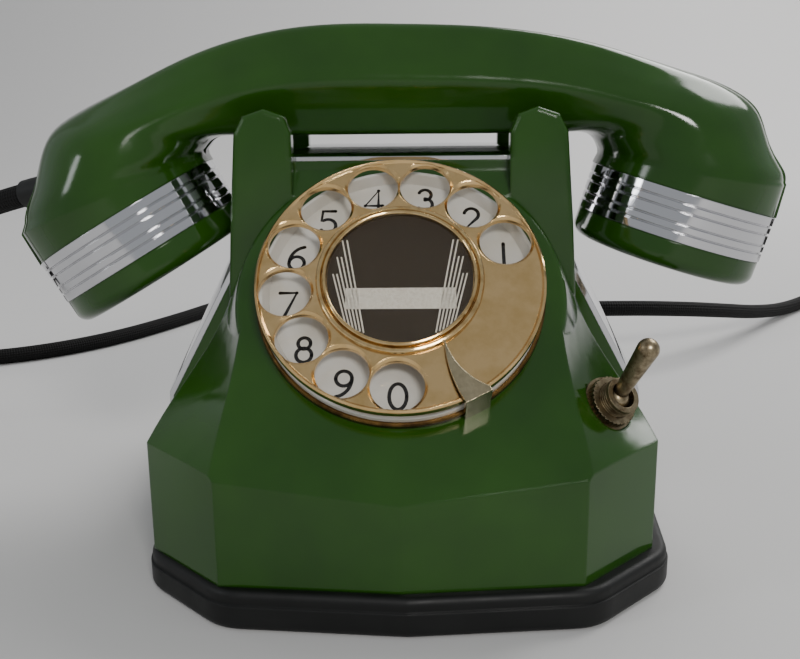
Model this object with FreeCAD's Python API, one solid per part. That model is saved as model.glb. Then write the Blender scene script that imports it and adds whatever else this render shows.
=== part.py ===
"""Desk telephone of the 1930s with a moulded housing, a chrome strap, a dial and a cradled handset.

Lengths are in millimetres. +X is to the user's right, -Y is the front and +Z is up.
The origin is the centre of the footprint, on the surface that the telephone stands on.
"""
import FreeCAD, Part
import os
from math import cos, pi, radians, sin, tan

V = FreeCAD.Vector
Rotation = FreeCAD.Rotation
Placement = FreeCAD.Placement
UP = V(0, 0, 1)

# ---- housing ----
HALF_DEPTH = 86.8          # centre crease of the front to the origin
CREASE_TOP = 34.2          # height of the skirt at the centre crease
SLOPE = 48.9               # front face, degrees above the horizontal
CORNER_FRONT = (46.4, 82.6)   # where the front meets the corner facet
CORNER_SIDE = (68.0, 61.2)    # where the corner facet meets the side
SIDE_CREASE = 73.2         # half width at the side crease
RUBBER_HEIGHT = 10.7
WALL = 4.0
# height, half width at the front crease, half width and half depth at the side corner
HOOD_LEVELS = [
    (30.0, 47.6, 73.7, 75.0),
    (41.6, 46.3, 68.0, 61.2),
    (51.0, 45.0, 62.6, 47.5),
    (60.0, 43.5, 56.6, 36.5),
    (71.7, 42.3, 50.9, 27.0),
    (81.0, 40.8, 47.0, 25.6),
    (90.0, 36.5, 40.5, 25.5),
    (97.0, 30.5, 34.0, 25.5),
    (101.0, 26.0, 29.5, 25.5),
]
STRAP_TOP = 116.5          # above the crest, before the crown is cut
# height, half width at the strap's edge and at its middle
STRAP_LEVELS = [
    (RUBBER_HEIGHT, 72.6, 74.4),
    (43.0, 71.4, 73.4),
    (89.5, 46.2, 50.2),
    (STRAP_TOP, 31.0, 33.4),
]
SLOPE_SPARE = 1.0
STRAP_HALF = 21.0          # half width of the chrome strap, front to back
STRAP_THICK = 1.2
STRAP_CREST = 115.9        # height of the crowned saddle between the ears
STRAP_EDGE = 113.6         # its height at the front and rear edges
NECK_FRONT = 27.0          # the ears' outer faces, front and rear
EAR_INNER = 30.9
EAR_TOP = 127.4
BOSS_RADIUS = 44.5         # round boss behind the dial, at the front slope
BOSS_FLARE = 0.33          # growth of its radius per millimetre of depth

SCREW_POST_X = 57.0        # posts for the base plate's screws
SCREW_POST_Y = 40.0
SCREW_POST_TOP = 30.0
BASE_PLATE_TOP = RUBBER_HEIGHT + 1.5
RUBBER_SHIFT = 1.6         # the rubber has crept towards the right
RUBBER_CORNER = 12.0       # its rounding at the housing's corners
RUNNING = 0.06             # radial clearance of turning and sliding fits

# ---- dial, in its own frame: z is out of the front slope, y is up the slope ----
DIAL_CENTRE = V(0, -47.9, 78.8)
DIAL = Placement(DIAL_CENTRE, Rotation(V(1, 0, 0), SLOPE))
WELL_RADIUS = 34.5
RIM_RADIUS = 38.9
RIM_TOP = 2.0
PLATE_RADIUS = 37.9
PLATE_FACE = 0.9
PLATE_LIP = 3.8
WHEEL_RADIUS = 38.3
WHEEL_TOP = 8.4
WHEEL_THICK = 2.2
HOLE_CIRCLE = 30.47
HOLE_RADIUS = 6.94
HOLE_FIRST = 22.3          # degrees from +x to the hole of the digit one
HOLE_STEP = 27.4
HOLE_COUNT = 10
STOP_LOW = 9.8             # underside of its blade
STOP_THICK = 1.2
# outline of the blade from its tip, down its left edge and back up its right edge
STOP_LEFT = [(11.2, -18.6), (12.1, -25.7), (15.8, -35.4)]
STOP_RIGHT = [(22.3, -32.0), (15.1, -26.7), (11.2, -18.6)]
CARD_RING_RADIUS = 22.2
CARD_RADIUS = 19.2
GEAR_MODULE = 0.7
MAIN_TEETH = 48
PINION_TEETH = 12
GEAR_GAP = 0.2             # extra centre distance, so that the teeth run free
WORM_Z = -17.0
SHAFT_RADIUS = 3.0

# ---- toggle switch, on the right corner facet ----
TOGGLE_POINT = V(54.4, -59.4, 51.0)
TOGGLE_NORMAL = V(0.46, -0.67, 0.58)
TOGGLE = Placement(TOGGLE_POINT, Rotation(UP, TOGGLE_NORMAL))
TOGGLE_SEAT = 7.7
TOGGLE_NUT = 6.7
TOGGLE_BUSHING = 4.9
TOGGLE_BALL = 3.3
TOGGLE_THROW = 44.0        # between the lever's two positions
LEVER_PIVOT = 4.2
LEVER_LENGTH = 18.5
LEVER_ROOT = 1.75
LEVER_TIP = 2.9
TRUNNION_RADIUS = 0.8
TRUNNION_REACH = 4.2       # from the pivot into the bushing's wall

# ---- hook switch and ringer ----
PLUNGER_X = 37.0
PLUNGER_RADIUS = 2.6
YOKE_LOW = 76.0
HOOK_PIVOT = V(0, 24.0, 71.0)
PIN_RADIUS = 1.5
SHELF_TOP = 40.0           # of the bracket that carries the hook lever
GONG_X = (-27.5, 27.5)
GONG_RADIUS = (24.0, 22.0)
GONG_Y = 34.0
CLAPPER_X = 1.0
CLAPPER_PIVOT_Y = 14.0
COIL_Y = -2.0

# ---- handset ----
TRANSMITTER = {"centre": V(-86.2, 0, 95.6), "tilt": 30.6, "radius": 30.6, "side": -1}
RECEIVER = {"centre": V(86.7, 0, 101.2), "tilt": 17.0, "radius": 28.4, "side": 1}
BAND_HEIGHT = 13.8
CAP_HEIGHT = 8.3
CAP_ROUNDING = 3.6
SPIGOT_WALL = 2.6
HANDLE_LOW = 119.0
# top or outer point and lower or inner point in x and z, half depth, and how faceted the section is
LEFT_COLLAR = ((-117.6, 89.6), (-60.8, 113.0), 31.1, 0.0)
RIGHT_COLLAR = ((116.2, 102.9), (60.8, 112.2), 28.6, 0.0)
HANDLE_MIDDLE = [
    ((-116.4, 92.9), (-60.9, 114.0), 30.9, 0.0),
    ((-113.0, 103.0), (-60.2, 115.4), 30.2, 0.0),
    ((-110.2, 112.0), (-58.8, 117.0), 29.2, 0.05),
    ((-107.0, 119.2), (-57.0, 118.2), 27.8, 0.1),
    ((-97.5, 126.4), (-53.0, HANDLE_LOW), 25.4, 0.2),
    ((-81.2, 134.3), (-48.0, HANDLE_LOW), 22.4, 0.4),
    ((-62.6, 142.6), (-41.0, HANDLE_LOW), 19.8, 0.6),
    ((-35.3, 149.7), (-27.0, HANDLE_LOW), 18.2, 0.75),
    ((0.0, 151.0), (0.0, HANDLE_LOW), 18.0, 0.75),
    ((34.0, 149.0), (27.0, HANDLE_LOW), 18.2, 0.75),
    ((60.0, 144.2), (41.0, HANDLE_LOW), 19.8, 0.6),
    ((82.2, 137.4), (49.0, HANDLE_LOW), 22.4, 0.4),
    ((100.0, 130.4), (54.5, HANDLE_LOW), 24.6, 0.2),
    ((106.6, 124.6), (57.6, 118.0), 25.8, 0.1),
    ((109.7, 117.2), (59.4, 116.2), 26.8, 0.05),
    ((113.4, 110.0), (60.4, 114.4), 27.8, 0.0),
    ((115.9, 103.6), (60.8, 112.9), 28.5, 0.0),
]
SECTION_POINTS = 24

# ---- cords ----
CORD_RADIUS = 3.7
CORD_REST = CORD_RADIUS + 0.1
GLAND_RADIUS = 4.6
GROMMET_RADIUS = 6.0
HANDSET_EXIT = V(-120.0, 7.0, 100.6)
REAR_EXIT_X = 30.0
REAR_EXIT_Y = 90.0
REAR_EXIT_Z = 22.0
HANDSET_ROUTE = [
    (-144.5, 18.5, 94.4), (-170, 31, 80), (-191, 43, 56), (-206, 54, 28), (-224, 70, 8),
    (-246, 98, CORD_REST), (-245, 132, CORD_REST), (-220, 156, CORD_REST), (-188, 168, CORD_REST),
    (-158, 195, CORD_REST),
    (-132, 238, CORD_REST), (-112, 282, CORD_REST), (-66, 304, CORD_REST), (-28, 280, CORD_REST),
    (-14, 233, CORD_REST), (-22, 184, CORD_REST), (-29, 142, 12), (-30, 112, 22),
]
HANDSET_EXIT_DIRECTION = (V(*HANDSET_ROUTE[0]) - HANDSET_EXIT).normalize()
LINE_ROUTE = [
    (30, 112, 22), (42, 140, 25), (68, 154, 28), (103, 156, 28), (132, 167, 25), (159, 189, 19),
    (186, 219, 11), (216, 256, CORD_REST), (249, 292, CORD_REST), (286.5, 311.5, CORD_REST),
]
COIL_CENTRE = (338.0, 300.0)
COIL_MIDDLE = 40.0         # radius at the middle of the turns
COIL_WIDE = 23.0
COIL_HIGH = 15.2
BLOCK_CENTRE = (338.0, 229.3)


# ------------------------------------------------------------------ helpers
def save(name, *solids):
    shape = solids[0] if len(solids) == 1 else Part.makeCompound(list(solids))
    shape.exportStep("parts/" + name + ".step")
    volume = sum(solid.Volume for solid in shape.Solids)
    print(f"{name:24s} solids {len(shape.Solids):2d} volume {volume:10.1f} valid {shape.isValid()}")


def rod(start, end, radius):
    along = end - start
    return Part.makeCylinder(radius, along.Length, start, along)


def box(low, high):
    size = V(*high) - V(*low)
    return Part.makeBox(size.x, size.y, size.z, V(*low))


def closed_wire(points):
    return Part.makePolygon(points + [points[0]])


def slab(points, rise):
    return Part.Face(closed_wire(points)).extrude(rise)


def fuse_all(solids):
    return solids[0].multiFuse(solids[1:]).removeSplitter()


def disc(radius, low, high, x=0.0, y=0.0):
    return Part.makeCylinder(radius, high - low, V(x, y, low))


def washer(outer, inner, low, high, x=0.0, y=0.0):
    return disc(outer, low, high, x, y).cut(disc(inner, low, high, x, y))


def revolve(profile):
    """Turns a profile of radius and height pairs about +z."""
    face = Part.Face(closed_wire([V(radius, 0, height) for radius, height in profile]))
    return face.revolve(V(0, 0, 0), UP, 360)


def placed(shape, placement):
    moved = shape.copy()
    moved.Placement = placement.multiply(moved.Placement)
    return moved


def turned(shape, degrees_about_z, centre=V(0, 0, 0)):
    moved = shape.copy()
    moved.rotate(centre, UP, degrees_about_z)
    return moved


def gear(teeth, width, low, bore):
    """A spur gear with plain tapered teeth; one tooth is centred on +x."""
    pitch = GEAR_MODULE * teeth / 2
    root = pitch - 1.15 * GEAR_MODULE
    tip = pitch + 0.8 * GEAR_MODULE
    step = 2 * pi / teeth
    points = []
    for tooth in range(teeth):
        for radius, share in ((root, -0.23), (tip, -0.13), (tip, 0.13), (root, 0.23)):
            angle = (tooth + share) * step
            points.append(V(radius * cos(angle), radius * sin(angle), low))
    return slab(points, V(0, 0, width)).cut(disc(bore, low, low + width))


def screw(x, y, head_low, head_radius=3.0, head_height=1.8, length=8.0):
    """A slotted screw that points up, with its head below."""
    head = disc(head_radius, head_low, head_low + head_height, x, y)
    slot = box((x - head_radius, y - 0.4, head_low), (x + head_radius, y + 0.4, head_low + 0.7))
    shank = disc(head_radius * 0.5, head_low, head_low + length, x, y)
    return head.fuse(shank).cut(slot)


# ------------------------------------------------------------------ housing
def skirt_points(z):
    front, side = CORNER_FRONT, CORNER_SIDE
    quarter = [(0, HALF_DEPTH), front, side, (SIDE_CREASE, 0)]
    right = quarter + [(x, -y) for x, y in reversed(quarter[:3])]
    left = [(-x, y) for x, y in reversed(right[1:-1])]
    return [V(x, y, z) for x, y in right + left]


def skirt(grow, low, high):
    face = Part.Face(closed_wire(skirt_points(low)))
    if grow:
        face = face.makeOffset2D(grow)
    return face.extrude(V(0, 0, high - low))


def front_depth(z, inset=0.0):
    """Half depth of the front slope at a height."""
    return HALF_DEPTH - (z - CREASE_TOP) / tan(radians(SLOPE)) - inset / sin(radians(SLOPE))


def hood(inset=0.0, drop=0.0):
    """The tapering body above the skirt, lofted a little proud and then trimmed to the flat slopes."""
    wires = []
    for z, crease_x, corner_x, corner_y in HOOD_LEVELS:
        level = z - drop
        crease_x -= inset
        corner_x -= inset
        corner_y -= inset
        crease_y = front_depth(z, inset) + SLOPE_SPARE
        right = [(crease_x, -crease_y), (corner_x, -corner_y), (corner_x, corner_y), (crease_x, crease_y)]
        left = [(-x, -y) for x, y in right]
        wires.append(closed_wire([V(x, y, level) for x, y in right + left]))
    loft = Part.makeLoft(wires, True, False)
    above_slope = placed(box((-90, -120, -inset), (90, 80, 90)), DIAL)
    return loft.cut(above_slope).cut(turned(above_slope, 180))


def crown(inset):
    """A long cylinder across the housing, whose top is the saddle's crown."""
    rise = STRAP_CREST - STRAP_EDGE
    radius = (STRAP_HALF ** 2 + rise ** 2) / (2 * rise)
    middle = STRAP_CREST - radius
    return rod(V(-90, 0, middle), V(90, 0, middle), radius - inset)


def strap_block(inset):
    """The bell-shaped block under the chrome strap, crowned from front to back."""
    wires = []
    for z, edge_x, crown_x in STRAP_LEVELS:
        level = z - inset if z > RUBBER_HEIGHT else z
        edge_x -= inset
        crown_x -= inset
        right = Part.Arc(V(edge_x, -STRAP_HALF, level), V(crown_x, 0, level), V(edge_x, STRAP_HALF, level))
        left = Part.Arc(V(-edge_x, STRAP_HALF, level), V(-crown_x, 0, level), V(-edge_x, -STRAP_HALF, level))
        rear = Part.LineSegment(V(edge_x, STRAP_HALF, level), V(-edge_x, STRAP_HALF, level))
        front = Part.LineSegment(V(-edge_x, -STRAP_HALF, level), V(edge_x, -STRAP_HALF, level))
        wires.append(Part.Wire([part.toShape() for part in (right, rear, left, front)]))
    return Part.makeLoft(wires, True, True).common(crown(inset))


def ear_plate():
    """One neck plate with its two ears, between the front face and the strap."""
    right = [
        (EAR_INNER, 113.4), (EAR_INNER, 120.5), (33.0, 125.4), (38.6, EAR_TOP), (44.6, 125.4), (47.2, 120.5),
        (49.3, 95.0), (50.8, 71.7), (48.0, 62.0),
    ]
    left = [(-x, z) for x, z in reversed(right)]
    thick = NECK_FRONT - STRAP_HALF
    plate = slab([V(x, -NECK_FRONT, z) for x, z in right + left], V(0, thick, 0))
    edges = [edge for edge in plate.Edges if ear_front_edge(edge)]
    above_slope = placed(box((-EAR_INNER, -120, 0), (EAR_INNER, 80, 90)), DIAL)
    return plate.makeFillet(1.6, edges).cut(above_slope)


def ear_front_edge(edge):
    centre = edge.CenterOfMass
    return abs(centre.y + NECK_FRONT) < 0.01 and centre.z > 80 and abs(centre.x) > 1


def boss():
    """The round boss that carries the dial, flaring back into the neck."""
    depth = 27.0
    cone = Part.makeCone(BOSS_RADIUS + BOSS_FLARE * depth, BOSS_RADIUS, depth, V(0, 0, -depth))
    keep = box((-90, -120, 0), (90, -STRAP_HALF - 1, 140))
    rounded = cone.makeFillet(2.0, [max(cone.Edges, key=lambda edge: edge.CenterOfMass.z)])
    return placed(rounded, DIAL).common(keep)


def housing_outside():
    tall = skirt(0, RUBBER_HEIGHT, 120)
    low = skirt(0, RUBBER_HEIGHT, 30.5)
    upper = hood().common(tall)
    front_ears = ear_plate()
    rear_ears = turned(front_ears, 180)
    return fuse_all([low, upper, front_ears, rear_ears, boss()])


def housing_cavity():
    low = skirt(-WALL, RUBBER_HEIGHT - 1, 31)
    upper = hood(WALL, WALL).common(skirt(-WALL, RUBBER_HEIGHT, 120))
    core = strap_block(STRAP_THICK + WALL).common(box((-80, -STRAP_HALF, 10), (80, STRAP_HALF, 106)))
    well = placed(disc(WELL_RADIUS, -34, 2), DIAL)
    return low.fuse(upper).fuse(core).fuse(well)


def screw_posts():
    """Posts for the base plate's screws, each with a web to the side wall."""
    posts = []
    for side in (-1, 1):
        for y in (-SCREW_POST_Y, SCREW_POST_Y):
            x = side * SCREW_POST_X
            web = box((-1, y - 1.5, BASE_PLATE_TOP), (11, y + 1.5, SCREW_POST_TOP))
            web = turned(web, 90 - 90 * side, V(0, y, 0))
            web.translate(V(x, 0, 0))
            post = disc(5.0, BASE_PLATE_TOP, SCREW_POST_TOP, x, y).fuse(web)
            posts.append(post.cut(disc(1.6, BASE_PLATE_TOP, 24, x, y)))
    return posts


def plunger_bore(x):
    return disc(PLUNGER_RADIUS + RUNNING, 88, 120, x, 0)


def housing():
    shell = housing_outside().cut(strap_block(0)).fuse(strap_block(STRAP_THICK))
    shell = shell.cut(housing_cavity())
    inside = skirt(-1, RUBBER_HEIGHT, SCREW_POST_TOP)
    shell = shell.multiFuse([post.common(inside) for post in screw_posts()])
    for x in (-PLUNGER_X, PLUNGER_X):
        shell = shell.cut(plunger_bore(x))
    for x in (-REAR_EXIT_X, REAR_EXIT_X):
        shell = shell.cut(rod(V(x, 70, REAR_EXIT_Z), V(x, 95, REAR_EXIT_Z), GROMMET_RADIUS))
    shell = shell.cut(placed(disc(TOGGLE_SEAT, 0, 30), TOGGLE))
    shell = shell.cut(placed(disc(TOGGLE_BUSHING, -20, 1), TOGGLE))
    shell = shell.cut(placed(box((-6.3, -6.3, -28), (6.3, 6.3, -5.2)), TOGGLE))
    return shell


def chrome_strap():
    strap = strap_block(0).cut(strap_block(STRAP_THICK))
    for x in (-PLUNGER_X, PLUNGER_X):
        strap = strap.cut(plunger_bore(x))
    return strap


def rounded_skirt(grow, low, high):
    """The skirt's outline with its corners rounded, moved a little to the right."""
    block = skirt(0, 0, 2 * RUBBER_CORNER)
    upright = [edge for edge in block.Edges if abs(edge.CenterOfMass.z - RUBBER_CORNER) < 1]
    corners = [edge for edge in upright if min(abs(edge.CenterOfMass.x), abs(edge.CenterOfMass.y)) > 1]
    block = block.makeFillet(RUBBER_CORNER, corners)
    outline = min(block.Faces, key=lambda face: face.CenterOfMass.z)
    grown = Part.Face(outline.makeOffset2D(grow).OuterWire).extrude(V(0, 0, high - low))
    grown.translate(V(RUBBER_SHIFT, 0, low))
    return grown


def rubber_base():
    lower = rounded_skirt(3.3, 0, 7.0)
    upper = rounded_skirt(2.8, 7.0, RUBBER_HEIGHT)
    lower_edges = [edge for edge in lower.Edges if edge.CenterOfMass.z < 0.01]
    upper_edges = [edge for edge in upper.Edges if edge.CenterOfMass.z > RUBBER_HEIGHT - 0.01]
    body = lower.makeFillet(2.2, lower_edges).fuse(upper.makeFillet(1.8, upper_edges))
    return body.cut(skirt(-9, -1, RUBBER_HEIGHT + 1))


def base_plate():
    plate = skirt(-WALL - 0.2, RUBBER_HEIGHT, BASE_PLATE_TOP)
    for x in (-SCREW_POST_X, SCREW_POST_X):
        for y in (-SCREW_POST_Y, SCREW_POST_Y):
            plate = plate.cut(disc(1.8, 0, 20, x, y))
    return plate


def base_parts():
    save("housing", housing())
    save("chrome_strap", chrome_strap())
    save("rubber_base", rubber_base())
    save("base_plate", base_plate())
    save("bottom_cover", skirt(-9.3, 1.2, 3.2))
    screws = []
    for x in (-SCREW_POST_X, SCREW_POST_X):
        for y in (-SCREW_POST_Y, SCREW_POST_Y):
            screws.append(screw(x, y, RUBBER_HEIGHT - 1.8, length=11.0))
    save("housing_screws", *screws)


# ------------------------------------------------------------------ toggle switch
def toggle_across():
    """The lever's axis: level, and square to the bushing."""
    return TOGGLE_NORMAL.cross(UP).normalize()


def toggle_switch():
    bushing = washer(TOGGLE_BUSHING - 0.05, TOGGLE_BALL + 0.1, -5.5, 7.2)
    for turn in range(4):
        low = 3.8 + 0.75 * turn
        bushing = bushing.cut(washer(TOGGLE_BUSHING + 1, TOGGLE_BUSHING - 0.5, low, low + 0.35))
    body = box((-6, -6, -22), (6, 6, -5.5))
    lugs = [box((-2, y - 0.5, -27), (2, y + 0.5, -22)) for y in (-4, 0, 4)]
    nut = washer(TOGGLE_NUT, TOGGLE_BUSHING, 0.9, 3.4)
    knurl = [
        turned(box((TOGGLE_NUT - 0.3, -0.25, 0.9), (TOGGLE_NUT + 1, 0.25, 3.4)), 360 / 32 * tooth)
        for tooth in range(32)
    ]
    lever_line = Rotation(toggle_across(), TOGGLE_THROW / 2).multVec(TOGGLE.Rotation.multVec(UP))
    pivot = TOGGLE.multVec(V(0, 0, LEVER_PIVOT))
    tip = pivot + lever_line * LEVER_LENGTH
    taper = Part.makeCone(LEVER_ROOT, LEVER_TIP, LEVER_LENGTH, pivot, lever_line)
    ball = Part.makeSphere(TOGGLE_BALL, pivot)
    reach = toggle_across() * TRUNNION_REACH
    trunnion = rod(pivot - reach, pivot + reach, TRUNNION_RADIUS)
    socket = rod(pivot - reach * 1.03, pivot + reach * 1.03, TRUNNION_RADIUS + RUNNING)
    lever = fuse_all([ball, taper, Part.makeSphere(LEVER_TIP, tip)]).fuse(trunnion)
    save("toggle_body", placed(fuse_all([body] + lugs), TOGGLE))
    save("toggle_bushing", placed(bushing, TOGGLE).cut(socket))
    save("toggle_washer", placed(washer(TOGGLE_SEAT - 0.3, TOGGLE_BUSHING, 0.0, 0.9), TOGGLE))
    save("toggle_ring_nut", placed(nut.cut(Part.makeCompound(knurl)), TOGGLE))
    save("toggle_lever", lever)
    print("toggle pivot", pivot, "axis", toggle_across(), "lever", lever_line)


# ------------------------------------------------------------------ dial
def save_dial(name, *solids):
    save(name, *[placed(solid, DIAL) for solid in solids])


def finger_wheel():
    low = WHEEL_TOP - WHEEL_THICK
    wheel = revolve([
        (0, low), (WHEEL_RADIUS - 0.5, low), (WHEEL_RADIUS, low + 0.5), (WHEEL_RADIUS, WHEEL_TOP + 0.2),
        (WHEEL_RADIUS - 0.6, WHEEL_TOP + 0.8), (WHEEL_RADIUS - 1.2, WHEEL_TOP), (0, WHEEL_TOP),
    ])
    for index in range(HOLE_COUNT):
        angle = radians(HOLE_FIRST + HOLE_STEP * index)
        x = HOLE_CIRCLE * cos(angle)
        y = HOLE_CIRCLE * sin(angle)
        wheel = wheel.cut(disc(HOLE_RADIUS, low - 1, WHEEL_TOP + 1, x, y))
        wheel = wheel.cut(Part.makeCone(HOLE_RADIUS, HOLE_RADIUS + 0.8, 0.8, V(x, y, WHEEL_TOP - 0.79)))
    hub = disc(6.5, 1.5, low + 0.5)
    return wheel.fuse(hub).cut(disc(SHAFT_RADIUS, 0, low))


def finger_stop():
    """A horn-shaped blade over the wheel that folds down outside its rim."""
    tip, left_middle, left_end = [V(x, y, STOP_LOW) for x, y in STOP_LEFT]
    right_end, right_middle = [V(x, y, STOP_LOW) for x, y in STOP_RIGHT[:2]]
    left = Part.Arc(tip, left_middle, left_end).toShape()
    right = Part.Arc(right_end, right_middle, tip).toShape()
    fold = Part.LineSegment(left_end, right_end).toShape()
    blade = Part.Face(Part.Wire([left, fold, right])).extrude(V(0, 0, STOP_THICK))
    along = (right_end - left_end).normalize()
    out = along.cross(UP)
    corners = [left_end, right_end, right_end + out * STOP_THICK, left_end + out * STOP_THICK]
    leg = slab([corner - V(0, 0, STOP_LOW) for corner in corners], V(0, 0, STOP_LOW + STOP_THICK))
    clear = disc(WHEEL_RADIUS + 0.5, 0, STOP_LOW).fuse(disc(RIM_RADIUS + 0.05, 0, RIM_TOP + 0.1))
    return blade.fuse(leg).cut(clear)


def dial_face():
    rim = revolve([
        (PLATE_RADIUS + 0.05, 0), (RIM_RADIUS, 0), (RIM_RADIUS, RIM_TOP - 0.6), (RIM_RADIUS - 0.4, RIM_TOP),
        (PLATE_RADIUS + 0.05, RIM_TOP),
    ])
    plate = revolve([
        (8.0, 0.02), (PLATE_RADIUS, 0.02), (PLATE_RADIUS, PLATE_LIP - 0.3), (PLATE_RADIUS - 0.4, PLATE_LIP),
        (PLATE_RADIUS - 1.0, PLATE_LIP), (PLATE_RADIUS - 2.6, PLATE_FACE), (8.0, PLATE_FACE),
    ])
    save_dial("dial_rim", rim)
    save_dial("number_plate", plate)
    save_dial("finger_stop", finger_stop())


def half_round(radius, height, half_width, rise):
    """The outline of a rounded ridge, from its outer foot over to its inner foot."""
    steps = 6
    angles = [pi * step / steps for step in range(steps + 1)]
    return [(radius + half_width * cos(angle), height + rise * sin(angle)) for angle in angles]


def dial_wheel_parts():
    bead = half_round(CARD_RING_RADIUS - 0.8, WHEEL_TOP + 0.5, 0.8, 0.9)
    bezel = half_round(CARD_RADIUS + 0.7, WHEEL_TOP + 1.2, 0.6, 0.8)
    ring = revolve([(CARD_RING_RADIUS, WHEEL_TOP)] + bead + bezel + [(CARD_RADIUS + 0.1, WHEEL_TOP)])
    save_dial("finger_wheel", finger_wheel())
    save_dial("card_ring", ring)
    save_dial("number_card", disc(CARD_RADIUS, WHEEL_TOP, WHEEL_TOP + 0.4))
    save_dial("card_window", disc(CARD_RADIUS, WHEEL_TOP + 0.5, WHEEL_TOP + 1.2))
    save_dial("dial_shaft", disc(SHAFT_RADIUS, -26, WHEEL_TOP - WHEEL_THICK - 0.8))
    save_dial("main_gear", gear(MAIN_TEETH, 2.5, -12, SHAFT_RADIUS))


def pinion_centre():
    return -(GEAR_MODULE * (MAIN_TEETH + PINION_TEETH) / 2 + GEAR_GAP)


def dial_works():
    y = pinion_centre()
    worm_y = y - 8.6
    cheeks = [box((x - 1, worm_y - 3, -22.5), (x + 1, worm_y + 3, WORM_Z + 3)) for x in (-12.0, 15.0)]
    bores = rod(V(-20, worm_y, WORM_Z), V(20, worm_y, WORM_Z), 1.0 + RUNNING)
    front_plate = disc(WELL_RADIUS - 0.3, -3.5, -2)
    rear_plate = disc(24.0, -24, -22.5).fuse(box((-21, -33, -24), (21, -14, -22.5)))
    posts = [disc(2.0, -22.5, -3.5, px, py) for px, py in ((-21, 10), (21, 10), (-19, -25), (19, -25))]
    frame = fuse_all([front_plate, rear_plate] + posts + [cheek.cut(bores) for cheek in cheeks])
    frame = frame.cut(disc(SHAFT_RADIUS + RUNNING, -30, 5)).cut(disc(1.2 + RUNNING, -30, 5, 0, y))
    pinion = turned(gear(PINION_TEETH, 4.0, -13, 1.2), 180 / PINION_TEETH)
    pinion.translate(V(0, y, 0))
    cam = disc(4.2, -20.5, -19.5, 0, y).cut(box((1.5, y - 5, -21), (5, y + 5, -19)))
    wheel = disc(6.0, WORM_Z - 1.2, WORM_Z + 1.2, 0, y)
    spindle = disc(1.2, -24, -2.2, 0, y)
    worm = rod(V(-4, worm_y, WORM_Z), V(4, worm_y, WORM_Z), 2.2)
    fly = rod(V(7.0, worm_y, WORM_Z), V(12.5, worm_y, WORM_Z), 4.2)
    governor_shaft = rod(V(-12.9, worm_y, WORM_Z), V(15.9, worm_y, WORM_Z), 1.0)
    leaves = [box((7 + 3 * k, y - 4, -21), (7.5 + 3 * k, y + 10, -19)) for k in range(3)]
    save_dial("dial_frame", frame)
    save_dial("dial_pinion", fuse_all([pinion, spindle, wheel]))
    save_dial("impulse_cam", cam.cut(disc(1.2, -21, -19, 0, y)))
    save_dial("governor", fuse_all([worm, fly, governor_shaft]))
    save_dial("impulse_contacts", *leaves)
    save_dial("return_spring_case", washer(9.0, 4.0, -8.5, -3.6))
    print("pinion axis", DIAL.multVec(V(0, y, WORM_Z)), "governor axis", DIAL.multVec(V(0, worm_y, WORM_Z)))


# ------------------------------------------------------------------ hook switch
def hook_switch():
    plungers = []
    for x in (-PLUNGER_X, PLUNGER_X):
        rounded = rod(V(x, 0, YOKE_LOW + 5), V(x, 0, 118.3), PLUNGER_RADIUS)
        plungers.append(rounded.makeFillet(1.3, [max(rounded.Edges, key=lambda edge: edge.CenterOfMass.z)]))
    bar = box((-PLUNGER_X - 1.8, -4, YOKE_LOW), (PLUNGER_X + 1.8, 4, YOKE_LOW + 5))
    save("cradle_plungers", *plungers)
    save("hook_yoke", bar)
    y = HOOK_PIVOT.y
    z = HOOK_PIVOT.z
    pin_half = V(9, 0, 0)
    lever = box((-5, -5, z + 1.6), (5, y, z + 3.6))
    eye = rod(V(-5, y, z), V(5, y, z), 3.6)
    bore = rod(HOOK_PIVOT - pin_half, HOOK_PIVOT + pin_half, PIN_RADIUS + RUNNING)
    save("hook_lever", lever.fuse(eye).cut(bore))
    hook_pin = rod(HOOK_PIVOT - pin_half, HOOK_PIVOT + pin_half, PIN_RADIUS)
    clapper_pin = disc(PIN_RADIUS, BASE_PLATE_TOP + 1.5, 27, CLAPPER_X, CLAPPER_PIVOT_Y)
    save("pivot_pins", hook_pin, clapper_pin)
    cheeks = [box((x - 1, y - 5, SHELF_TOP), (x + 1, y + 5, z + 5)) for x in (-7.5, 7.5)]
    legs = [box((x - 1.5, y - 5, BASE_PLATE_TOP), (x + 1.5, y + 5, SHELF_TOP - 2)) for x in (-56, 56)]
    shelf = box((-57.5, y - 5, SHELF_TOP - 2), (57.5, y + 5, SHELF_TOP))
    save("hook_bracket", fuse_all(cheeks + [shelf] + legs).cut(hook_pin))
    contacts = [box((12 + 3 * k, -2, 54), (12.6 + 3 * k, y + 4, 66)) for k in range(4)]
    insulator = box((11, y - 4, SHELF_TOP), (23, y + 4, 54))
    save("hook_contacts", *contacts)
    save("contact_block", insulator)


# ------------------------------------------------------------------ ringer and transmission parts
def gong(radius, x):
    outer = [(4.0, 32.0), (radius - 5, 31.0), (radius, 24.0), (radius, 21.0)]
    inner = [(radius - 1.4, 21.0), (radius - 1.4, 23.6), (radius - 5.8, 29.6), (4.0, 30.6)]
    solid = revolve([(2.0, 32.0)] + outer + inner + [(2.0, 30.6)])
    solid.translate(V(x, GONG_Y, 0))
    return solid


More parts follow.
